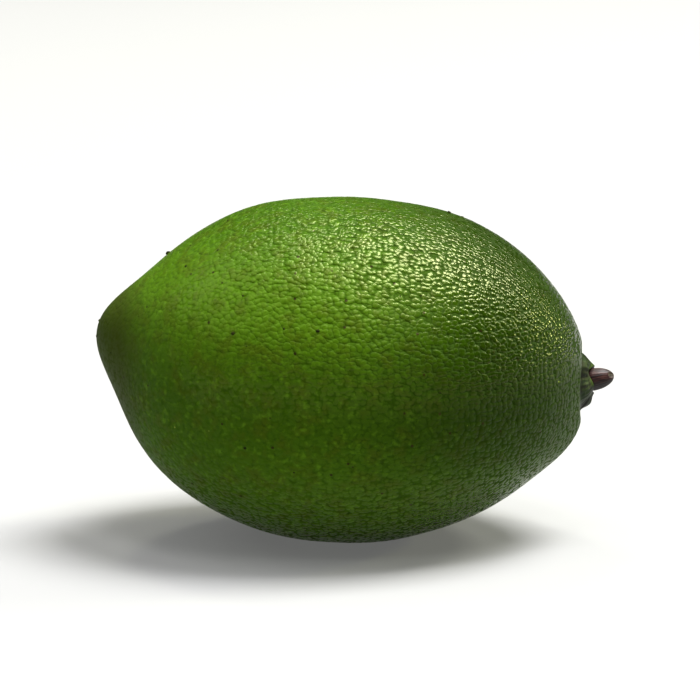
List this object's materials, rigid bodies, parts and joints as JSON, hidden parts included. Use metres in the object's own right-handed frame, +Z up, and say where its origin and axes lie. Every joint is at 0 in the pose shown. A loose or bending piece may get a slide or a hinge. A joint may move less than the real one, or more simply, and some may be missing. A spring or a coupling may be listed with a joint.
{
  "type": "lime",
  "caption": "Whole green lime lying on its side: an egg-shaped fruit with a nipple at its blossom end, and a green calyx and a short cut stem at the other.",
  "frame": {"origin": "on the small flat spot that the fruit rests on, straight below the middle of its belly", "axes": "+X along the fruit towards the stem, +Z up; -Y is the side that faces the viewer"},
  "size_m": [0.0688, 0.0457, 0.0456],
  "materials": {
    "peel": "waxy gloss over a finely dimpled green peel",
    "calyx": "satin dark green",
    "stem": "polished dark brown bark with shallow grooves"
  },
  "bodies": {
    "root": {"fruit": "peel", "calyx": "calyx", "stem": "stem"}
  },
  "joints": []
}
